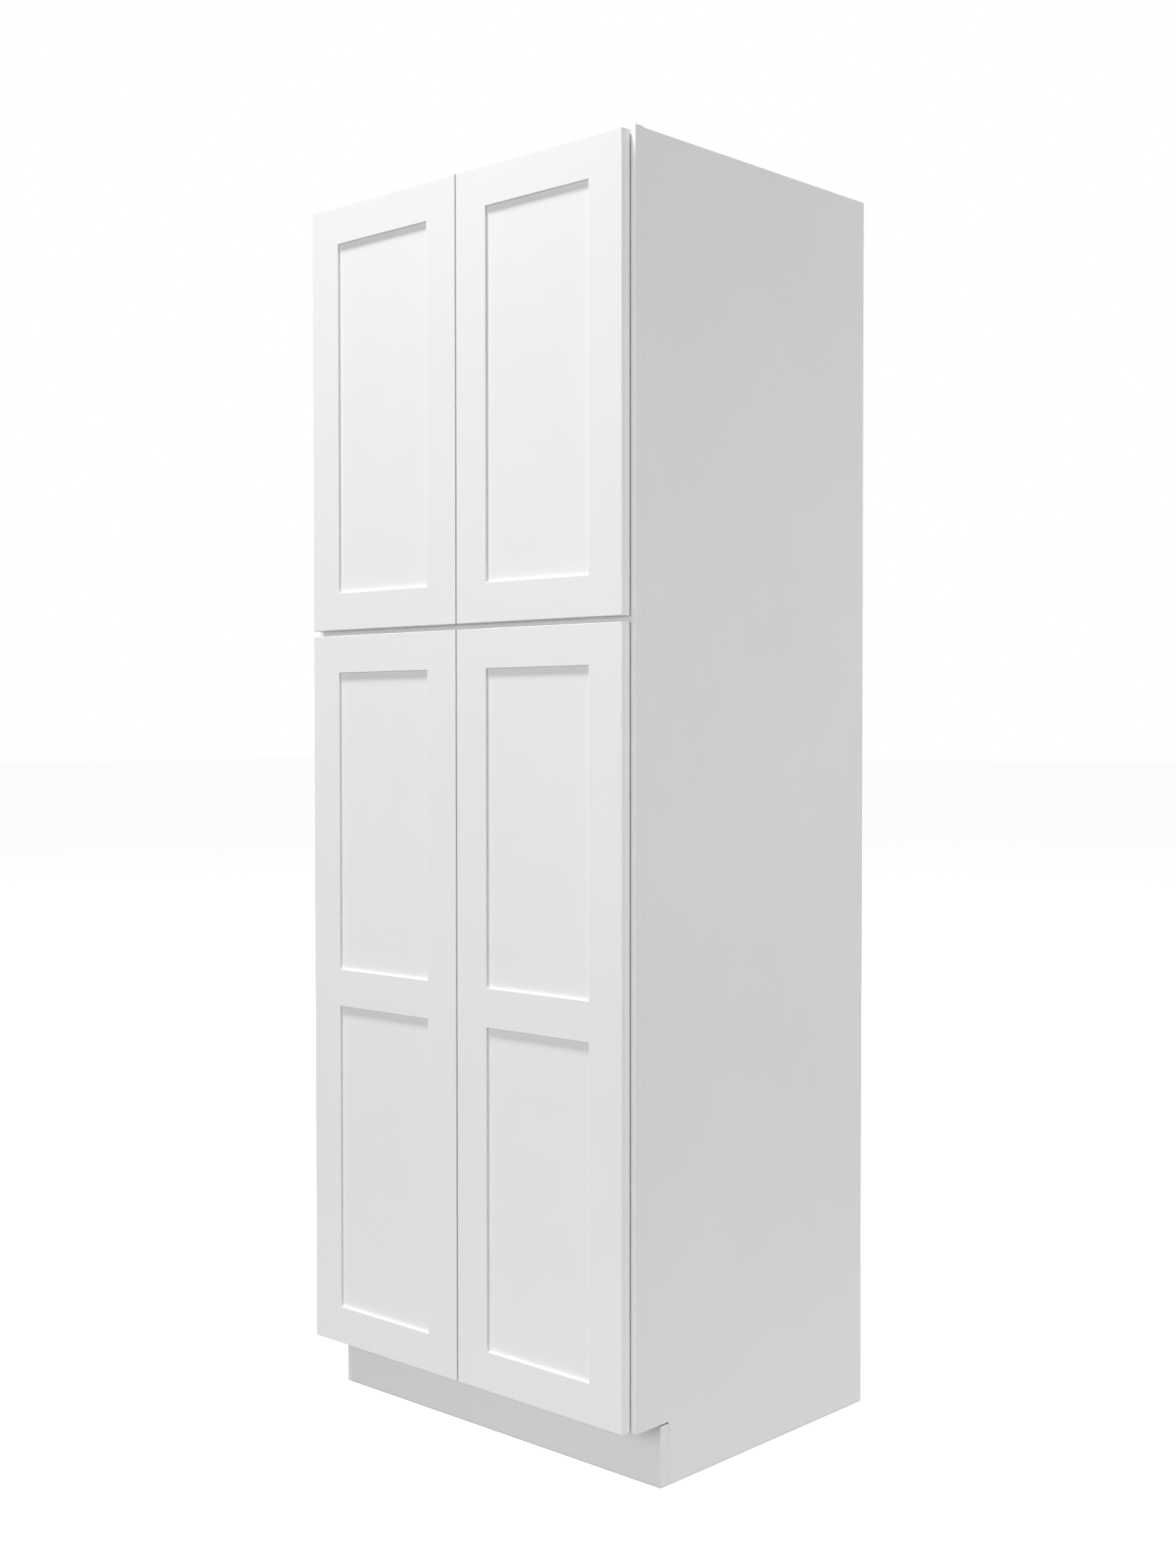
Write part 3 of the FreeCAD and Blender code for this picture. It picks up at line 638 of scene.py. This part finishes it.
OUTER_ROUND = 1.1 * MM
INNER_ROUND = 1.0 * MM
BACK_ROUND = 0.3 * MM
GROOVE = 10.0 * MM
SLIVER = 0.02 * MM
FLAT_ANGLE = math.radians(0.5)
BORE_CLEARANCE = 0.05 * MM
BORE_UNDERCUT = 0.1 * MM
BORE_OVERCUT = 1.0 * MM
CUP_RADIUS = 17.5 * MM
CUP_DEPTH = 13.7 * MM
CUP_CENTRE = 20.5 * MM
CUP_HALF_LENGTH = 27.0 * MM


def rounded_in(radius, depth, steps):
    """A front edge's rounding as (offset, depth) pairs, from the face to the side."""
    pairs = []
    for number in range(steps + 1):
        angle = math.radians(90.0 * number / steps)
        pairs.append((radius * (1 - math.sin(angle)), depth + radius * (1 - math.cos(angle))))
    return pairs


def rounded_out(radius, depth, steps):
    """A back edge's rounding, from the side to the back."""
    pairs = []
    for number in range(steps + 1):
        angle = math.radians(90.0 * number / steps)
        pairs.append((radius * (1 - math.cos(angle)), depth - radius * (1 - math.sin(angle))))
    return pairs


def grown(rectangle, distance):
    """The corners of a rectangle, moved outward on every side."""
    x0, z0, x1, z1 = rectangle
    return [
        (x0 - distance, z0 - distance), (x1 + distance, z0 - distance),
        (x1 + distance, z1 + distance), (x0 - distance, z1 + distance),
    ]


def door_frame(outer, openings, front, back, panel_front, panel_back):
    """A whole door frame as one closed solid, with mitred roundings and a groove for the panels."""
    outer_profile = rounded_in(OUTER_ROUND, front, 4) + rounded_out(BACK_ROUND, back, 4)
    inner_profile = (
        rounded_in(INNER_ROUND, front, 8)
        + [(0.0, panel_front), (GROOVE, panel_front), (GROOVE, panel_back), (0.0, panel_back)]
        + rounded_out(BACK_ROUND, back, 4)
    )
    bm = bmesh.new()
    ends = []
    edges = [(outer, -1, outer_profile)] + [(opening, 1, inner_profile) for opening in openings]
    for rectangle, sign, profile in edges:
        loops = []
        for offset, depth in profile:
            loops.append([bm.verts.new((x, depth, z)) for x, z in grown(rectangle, sign * offset)])
        for first, second in zip(loops, loops[1:]):
            for number in range(4):
                following = (number + 1) % 4
                bm.faces.new((first[number], first[following], second[following], second[number]))
        ends.append((loops[0], loops[-1]))
    for end in (0, 1):
        corners = [vertex for loops in ends for vertex in loops[end]]
        polygons = [[vertex.co for vertex in loops[end]] for loops in ends]
        for triangle in tessellate_polygon(polygons):
            bm.faces.new([corners[index] for index in triangle])
    bmesh.ops.recalc_face_normals(bm, faces=bm.faces[:])
    return bm


def kept_between(bm, axis, low=None, high=None):
    """A closed copy of the part of a solid that lies between two planes."""
    result = bm.copy()
    for position, sign in ((low, -1), (high, 1)):
        if position is None:
            continue
        point, normal = Vector(), Vector()
        point[axis], normal[axis] = position, sign
        geometry = result.verts[:] + result.edges[:] + result.faces[:]
        bmesh.ops.bisect_plane(result, geom=geometry, plane_co=point, plane_no=normal, clear_outer=True)
        rims = [edge for edge in result.edges if edge.is_boundary]
        if rims:
            bmesh.ops.holes_fill(result, edges=rims, sides=0)
    bmesh.ops.dissolve_limit(
        result, angle_limit=FLAT_ANGLE, verts=result.verts[:], edges=result.edges[:])
    bmesh.ops.recalc_face_normals(result, faces=result.faces[:])
    return result


def hinge_heights(door):
    """An upper door hangs on two hinges, and a lower one has a third halfway up."""
    low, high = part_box(door + "_hinge_cups")
    heights = [low.z + CUP_HALF_LENGTH, high.z - CUP_HALF_LENGTH]
    if door.startswith("lower"):
        heights.insert(1, (heights[0] + heights[1]) / 2)
    return heights


def make_door(door, number):
    """A door's stiles and rails are cut from one frame, so that their edges run on at the joints."""
    side = DOORS[door]["side"]
    panels = DOORS[door]["panels"]
    body = door + "_door"
    boxes = {}
    for member in ["hinge_stile", "free_stile", "bottom_rail", "middle_rail", "top_rail"]:
        if member != "middle_rail" or len(panels) == 2:
            boxes[member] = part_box("%s_%s" % (door, member))
    hinge_low, hinge_high = boxes["hinge_stile"]
    free_low, free_high = boxes["free_stile"]
    if side < 0:
        left, right = hinge_low.x, free_high.x
        open_left, open_right = hinge_high.x, free_low.x
    else:
        left, right = free_low.x, hinge_high.x
        open_left, open_right = free_high.x, hinge_low.x
    front, back = hinge_low.y, hinge_high.y
    outer = (left, hinge_low.z, right, hinge_high.z)
    panel_low, panel_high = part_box("%s_%s" % (door, list(panels)[0]))
    openings = []
    for below, above in panels.values():
        openings.append((open_left, boxes[below][1].z, open_right, boxes[above][0].z))
    solid = door_frame(outer, openings, front, back, panel_low.y, panel_high.y)
    between = kept_between(solid, X, open_left + SLIVER, open_right - SLIVER)
    first_middle = (openings[0][1] + openings[0][3]) / 2
    last_middle = (openings[-1][1] + openings[-1][3]) / 2
    members = {
        "bottom_rail": kept_between(between, Z, high=first_middle),
        "top_rail": kept_between(between, Z, low=last_middle),
    }
    if len(panels) == 2:
        members["middle_rail"] = kept_between(between, Z, first_middle, last_middle)
    left_name, right_name = ("hinge_stile", "free_stile") if side < 0 else ("free_stile", "hinge_stile")
    members[left_name] = kept_between(solid, X, high=open_left + SLIVER)
    members[right_name] = kept_between(solid, X, low=open_right - SLIVER)
    solid.free()
    between.free()
    hinge_edge = left if side < 0 else right
    bores = []
    for height in hinge_heights(door):
        centre = (hinge_edge - side * CUP_CENTRE, height)
        outline = circle(centre, CUP_RADIUS + BORE_CLEARANCE, 48)
        bores.append(prism(outline, Y, back - CUP_DEPTH - BORE_UNDERCUT, back + BORE_OVERCUT))
    cut = [("DIFFERENCE", together(bores))]
    members["hinge_stile"] = combined(members["hinge_stile"], cut)
    for count, (member, bm) in enumerate(members.items()):
        lay_grain(bm, Z if "stile" in member else X, Y, number + count)
        node = "%s_%s" % (door, member)
        piece(bm, node + "_painted", body, PAINTED, [node])
    for count, panel in enumerate(panels):
        node = "%s_%s" % (door, panel)
        bm = eased(block(*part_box(node)), BOARD_EASE)
        lay_grain(bm, Z, Y, number + PANEL_NUMBER_SHIFT + count)
        piece(bm, node + "_painted", body, PAINTED, [node])


# ---- hinges, pins and bumpers ---------------------------------------------------------------------------
# Each hinge part is drawn once for a left-hand door. Its X runs inward from the door's hinged edge, its Y
# runs back from the floor of the cup, and its Z is zero at the middle of the hinge.

CUP_RIM_RADIUS = 18.4 * MM
FLANGE_TOP = 14.7 * MM
LUG_START, LUG_END = 24.5 * MM, 36.0 * MM
LUG_CORNER = 5.0 * MM
BOWL_RADIUS = 16.3 * MM
BOWL_CUT = 10.0 * MM
BOWL_FLOOR = 2.4 * MM
CUP_FLOOR = 0.8 * MM
SLOT_START, SLOT_END = 4.3 * MM, 33.0 * MM
SLOT_HALF_WIDTH = 5.0 * MM
CUTTER_TOP = 20.0 * MM
SEAT_OVERLAP = 0.3 * MM
PIN_PLACE = (6.5 * MM, 3.2 * MM)
PIN_HALF_LENGTH = 7.5 * MM
ARM_HALF_WIDTH = 4.5 * MM
ARM_LOW, ARM_HIGH = 1.2 * MM, 2.7 * MM
ARM_OUTER, ARM_INNER = 28.6 * MM, 30.1 * MM
ARM_BEND = 2.0 * MM
KNUCKLE_RADIUS = 2.0 * MM
SPRING_ROOM = (8.9 * MM, 6.0 * MM, 1.5 * MM)
PLATE_START, PLATE_END = 16.4 * MM, 32.9 * MM
PLATE_HALF_HEIGHT = 16.0 * MM
PLATE_CORNER = 4.5 * MM
PLATE_OVERLAP = 3.0 * MM
WINDOW_START, WINDOW_END = 7.5 * MM, 14.0 * MM
WINDOW_HALF_HEIGHT = 1.7 * MM
WINDOW_CORNER = 1.6 * MM
WINDOW_OVERCUT = 2.0 * MM
PIN_RADIUS = 1.25 * MM
PIN_TIP = 0.35 * MM
CUP_SCREWS = (30.0 * MM, 22.5 * MM)
PLATE_SCREW_OFFSET = 10.0 * MM
RECESS_HALF_WIDTH = 0.4 * MM
RECESS_REACH = 0.56
HARDWARE_EASE = 0.22 * MM
BRACKET_EASE = 0.25 * MM
BRACKET_HALF_WIDTH = 4.0 * MM
ALONG_X = Matrix.Rotation(math.pi / 2, 4, "Y")
ALONG_Y = Matrix.Rotation(-math.pi / 2, 4, "X")
FLIPPED = Matrix.Rotation(math.pi, 4, "Y")
ABOUT_FACE = Matrix.Rotation(math.pi, 4, "Z")


def hinge_places(door):
    """Where a door's hinges go. Those of a right-hand door are turned upside down to mirror them."""
    side = DOORS[door]["side"]
    low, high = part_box(door + "_hinge_stile")
    edge = low.x if side < 0 else high.x
    turn = Matrix.Identity(4) if side < 0 else FLIPPED
    floor = high.y - CUP_DEPTH
    return [Matrix.Translation((edge, floor, height)) @ turn for height in hinge_heights(door)]


def cup_pattern():
    """A pressed steel cup: a bowl, a slot for the arm, and a flange with two lugs."""
    centre = (CUP_CENTRE, 0.0)
    shell_outline = circle(centre, CUP_RADIUS - BORE_CLEARANCE, 48)
    shell = prism(shell_outline, Y, 0.0, CUP_DEPTH + SEAT_OVERLAP)
    rim = prism(circle(centre, CUP_RIM_RADIUS, 64), Y, CUP_DEPTH, FLANGE_TOP)
    lug_corners = (LUG_START, -CUP_HALF_LENGTH), (LUG_END, CUP_HALF_LENGTH)
    lugs = prism(rounded_rectangle(*lug_corners, LUG_CORNER), Y, CUP_DEPTH, FLANGE_TOP)
    half_turn = math.degrees(math.acos(-BOWL_CUT / BOWL_RADIUS))
    bowl_outline = arc_points(centre, BOWL_RADIUS, -half_turn, half_turn, 40)
    bowl = prism(bowl_outline, Y, BOWL_FLOOR, CUTTER_TOP)
    slot_low = (SLOT_START, CUP_FLOOR, -SLOT_HALF_WIDTH)
    slot = block(slot_low, (SLOT_END, CUTTER_TOP, SLOT_HALF_WIDTH))
    return combined(shell, [
        ("UNION", rim), ("UNION", lugs), ("DIFFERENCE", bowl), ("DIFFERENCE", slot),
    ], HARDWARE_EASE)


def arm_pattern():
    """A bent steel arm with a knuckle at the pin and a rounded plate against the frame's edge."""
    inner_bend = ARM_BEND - (ARM_INNER - ARM_OUTER)
    centre = (ARM_INNER - ARM_BEND, ARM_LOW + ARM_BEND)
    arm_end = PLATE_END - PLATE_OVERLAP
    outline = [(PIN_PLACE[0], ARM_LOW)] + arc_points(centre, ARM_BEND, -90, 0, 8)
    outline += [(ARM_INNER, arm_end), (ARM_OUTER, arm_end)]
    outline += arc_points(centre, inner_bend, 0, -90, 4) + [(PIN_PLACE[0], ARM_HIGH)]
    arm = prism(outline, Z, -ARM_HALF_WIDTH, ARM_HALF_WIDTH)
    knuckle = prism(circle(PIN_PLACE, KNUCKLE_RADIUS, 28), Z, -ARM_HALF_WIDTH, ARM_HALF_WIDTH)
    plate_corners = (PLATE_START, -PLATE_HALF_HEIGHT), (PLATE_END, PLATE_HALF_HEIGHT)
    plate = prism(rounded_rectangle(*plate_corners, PLATE_CORNER), X, ARM_OUTER, ARM_INNER)
    spring_room = block((0.0, 0.0, -SPRING_ROOM[2]), SPRING_ROOM)
    window_corners = (WINDOW_START, -WINDOW_HALF_HEIGHT), (WINDOW_END, WINDOW_HALF_HEIGHT)
    window_outline = rounded_rectangle(*window_corners, WINDOW_CORNER)
    window = prism(window_outline, X, ARM_OUTER - WINDOW_OVERCUT, ARM_INNER + WINDOW_OVERCUT)
    return combined(arm, [
        ("UNION", knuckle), ("UNION", plate), ("DIFFERENCE", spring_room), ("DIFFERENCE", window),
    ], HARDWARE_EASE)


def screw(head, shank_radius, length, recess_depth):
    """A screw standing on its head's underside, head up, with a cross recess."""
    bm = turned([(0.0, -length), (shank_radius, -length), (shank_radius, 0.0)] + head, 28)
    top = head[-1][1]
    reach = RECESS_REACH * head[0][0]
    cross = []
    for x, y in ((reach, RECESS_HALF_WIDTH), (RECESS_HALF_WIDTH, reach)):
        arm = block((-x, -y, top - recess_depth), (x, y, top + MM))
        cross.append(("DIFFERENCE", arm))
    return combined(bm, cross)


def cup_screws_pattern():
    head = in_mm([(2.8, 0.0), (2.8, 0.25), (2.3, 0.62), (1.3, 0.8), (0.0, 0.8)])
    across, apart = CUP_SCREWS
    places = [Matrix.Translation((across, FLANGE_TOP, sign * apart)) @ ALONG_Y for sign in (-1, 1)]
    return copies(screw(head, shank_radius=1.6 * MM, length=10.0 * MM, recess_depth=0.65 * MM), places)


def plate_screws_pattern():
    head = in_mm([(3.2, 0.0), (3.2, 0.55), (2.95, 1.1), (2.2, 1.6), (1.2, 1.8), (0.0, 1.8)])
    middle = (PLATE_START + PLATE_END) / 2
    places = []
    for height in (-PLATE_SCREW_OFFSET, PLATE_SCREW_OFFSET):
        places.append(Matrix.Translation((ARM_INNER, middle, height)) @ ALONG_X)
    return copies(screw(head, shank_radius=1.7 * MM, length=14.0 * MM, recess_depth=1.1 * MM), places)


def hinge_pin_pattern():
    """The pin that the door turns on, with chamfered ends."""
    upper = [
        (PIN_RADIUS, PIN_HALF_LENGTH - PIN_TIP), (PIN_RADIUS - PIN_TIP, PIN_HALF_LENGTH),
        (0.0, PIN_HALF_LENGTH),
    ]
    lower = [(radius, -height) for radius, height in reversed(upper)]
    return copies(turned(lower + upper, 24), [Matrix.Translation((*PIN_PLACE, 0.0))])


def make_hinges():
    """Arms, pins and plate screws stay on the cabinet. Cups and their screws go with the doors."""
    all_places = [place for door in DOORS for place in hinge_places(door)]
    fixed = {
        "hinge_arms": arm_pattern(), "hinge_pins": hinge_pin_pattern(),
        "hinge_plate_screws": plate_screws_pattern(),
    }
    for node, pattern in fixed.items():
        bm = copies(pattern, all_places)
        piece(bm, node + "_steel", "cabinet", [STEEL], [node])
    for door in DOORS:
        moving = {door + "_hinge_cups": cup_pattern(), door + "_cup_screws": cup_screws_pattern()}
        for node, pattern in moving.items():
            bm = copies(pattern, hinge_places(door))
            piece(bm, node + "_steel", door + "_door", [STEEL], [node])


def make_bumpers():
    """Small domed discs that soften a door's closing."""
    profile = in_mm([
        (0.0, 0.0), (4.0, 0.0), (4.0, 1.0), (3.8, 1.5), (3.3, 1.88), (2.4, 2.07), (0.0, 2.1),
    ])
    for door in DOORS:
        low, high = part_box(door + "_bumpers")
        middle = (low.x + high.x) / 2
        radius = (high.x - low.x) / 2
        places = [Matrix.Translation((middle, low.y, height)) @ ALONG_Y
                  for height in (low.z + radius, high.z - radius)]
        piece(copies(turned(profile, 28), places), door + "_bumper_discs", door + "_door",
              [BUMPER], [door + "_bumpers"])


def make_shelf_pins():
    """Four steel brackets under each shelf, each with a plug in one of the side's holes."""
    outline = in_mm([
        (0.0, -2.5), (1.5, -2.5), (2.0, -0.6), (3.2, 0.5),
        (5.0, 1.0), (9.0, 1.1), (9.0, 2.5), (0.0, 2.5),
    ])
    bracket = prism(outline, Y, -BRACKET_HALF_WIDTH, BRACKET_HALF_WIDTH)
    profile = in_mm([(0.0, -8.8), (1.9, -8.8), (2.45, -8.2), (2.45, 0.6), (0.0, 0.6)])
    plug = copies(turned(profile, 24), [ALONG_X])
    pattern = combined(bracket, [("UNION", plug)], BRACKET_EASE)
    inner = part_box("left_side_panel")[1].x
    places = []
    for node in SHELVES:
        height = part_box(node)[0].z - PIN_HOLE_RADIUS
        for along in pin_row_places():
            places.append(Matrix.Translation((inner, along, height)))
            places.append(Matrix.Translation((-inner, along, height)) @ ABOUT_FACE)
    bm = copies(pattern, places)
    piece(bm, "shelf_pins_steel", "cabinet", [STEEL], ["shelf_pins"])


def finish_hidden_nodes():
    """Pieces whose CAD shape is already right only get their finish."""
    for node, material in (("dowels", DOWEL), ("hinge_springs", STEEL)):
        for material_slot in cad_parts[node].material_slots:
            material_slot.material = material


# ---- studio ---------------------------------------------------------------------------------------------

CAMERA_PLACE = (2.3733, -2.5542, 1.2041)
CAMERA_YAW, CAMERA_TILT, CAMERA_ROLL = 0.7469, -0.0228, -0.0005
CAMERA_LENS = 44.68
CAMERA_SHIFT = -0.0071

WHITE = (1.0, 1.0, 1.0, 1.0)
# What the surroundings shine on the cabinet, below and above the horizon, and how soft the horizon is.
DIM_BELOW = 0.155
BRIGHT_ABOVE = 0.29
HORIZON = 0.02
# What the floor sends up, from a disc that the camera does not see.
FLOOR_BOUNCE = 0.255
FLOOR_BOUNCE_RADIUS = 1.6
FLOOR_BOUNCE_HEIGHT = 0.002
FLOOR_HALF_SIZE = 60.0
FLOOR_GLOW = 0.68
MIDDLE_HEIGHT = 1.1

# Each soft box's power in watts, its place, the point it faces and the length of its sides.
SOFT_BOXES = {
    "key_box": (326.0, (-0.75, -1.95, 6.56), (0.0, -0.3, 1.4), 1.0),
    "front_box": (100.0, (0.6, -5.3, 1.5), (0.0, -0.3, 1.2), 2.4),
    "right_box": (115.0, (5.2, 1.5, 1.5), (0.38, 0.0, MIDDLE_HEIGHT), 2.4),
    "left_box": (112.0, (-5.2, 1.5, 1.5), (-0.38, 0.0, MIDDLE_HEIGHT), 2.4),
    "back_box": (112.0, (0.0, 5.3, 1.5), (0.0, 0.3, MIDDLE_HEIGHT), 2.4),
}


def make_camera():
    data = bpy.data.cameras.new("camera")
    data.sensor_width = 36.0
    data.lens = CAMERA_LENS
    data.shift_y = CAMERA_SHIFT
    camera = linked("camera", data)
    camera.location = CAMERA_PLACE
    level = Euler((math.pi / 2 + CAMERA_TILT, 0.0, CAMERA_YAW)).to_matrix()
    camera.rotation_euler = (level @ Matrix.Rotation(CAMERA_ROLL, 3, "Z")).to_euler()
    bpy.context.scene.camera = camera


def add_area_light(name, energy, location, towards, size, shape="SQUARE"):
    data = bpy.data.lights.new(name, "AREA")
    data.energy = energy
    data.shape = shape
    data.size = size
    light = linked(name, data)
    light.location = location
    direction = Vector(towards) - Vector(location)
    light.rotation_euler = direction.to_track_quat("-Z", "Y").to_euler()
    return light


def make_world():
    """White for the camera. For everything else it is brighter above than below."""
    world = bpy.data.worlds.new("studio")
    world.use_nodes = True
    tree = world.node_tree
    surround = tree.nodes["Background"]
    surround.inputs["Color"].default_value = WHITE
    direction = tree.nodes.new("ShaderNodeTexCoord").outputs["Generated"]
    height = separated(tree, direction)["Z"]
    strength = spread(tree, height, DIM_BELOW, BRIGHT_ABOVE, -HORIZON, HORIZON)
    tree.links.new(strength, surround.inputs["Strength"])
    backdrop = tree.nodes.new("ShaderNodeBackground")
    backdrop.inputs["Color"].default_value = WHITE
    path = tree.nodes.new("ShaderNodeLightPath")
    mix = tree.nodes.new("ShaderNodeMixShader")
    tree.links.new(path.outputs["Is Camera Ray"], mix.inputs[0])
    tree.links.new(surround.outputs[0], mix.inputs[1])
    tree.links.new(backdrop.outputs[0], mix.inputs[2])
    tree.links.new(mix.outputs[0], tree.nodes["World Output"].inputs["Surface"])
    bpy.context.scene.world = world


def make_floor():
    """A floor that shows shadows but lights nothing, so that the bounce can be set by itself."""
    bm = bmesh.new()
    bmesh.ops.create_grid(bm, x_segments=24, y_segments=24, size=FLOOR_HALF_SIZE)
    mesh = bpy.data.meshes.new("floor")
    bm.to_mesh(mesh)
    bm.free()
    mesh.materials.append(floor_material())
    floor = linked("floor", mesh)
    floor.visible_diffuse = False
    floor.visible_glossy = False


def make_studio():
    make_floor()
    make_world()
    for name, (energy, location, towards, size) in SOFT_BOXES.items():
        add_area_light(name, energy, location, towards, size)
    energy = FLOOR_BOUNCE * (math.pi * FLOOR_BOUNCE_RADIUS) ** 2
    place = (0.0, 0.0, FLOOR_BOUNCE_HEIGHT)
    size = 2.0 * FLOOR_BOUNCE_RADIUS
    bounce = add_area_light("floor_bounce", energy, place, (0.0, 0.0, 1.0), size, "DISK")
    bounce.visible_camera = False
    bpy.context.scene.view_settings.view_transform = "Standard"


make_camera()
make_carcass()
make_face_frame()
for place, door_name in enumerate(DOORS):
    make_door(door_name, DOOR_NUMBER + DOOR_NUMBER_STEP * place)
make_hinges()
make_bumpers()
make_shelf_pins()
finish_hidden_nodes()
make_studio()

bpy.context.view_layer.update()
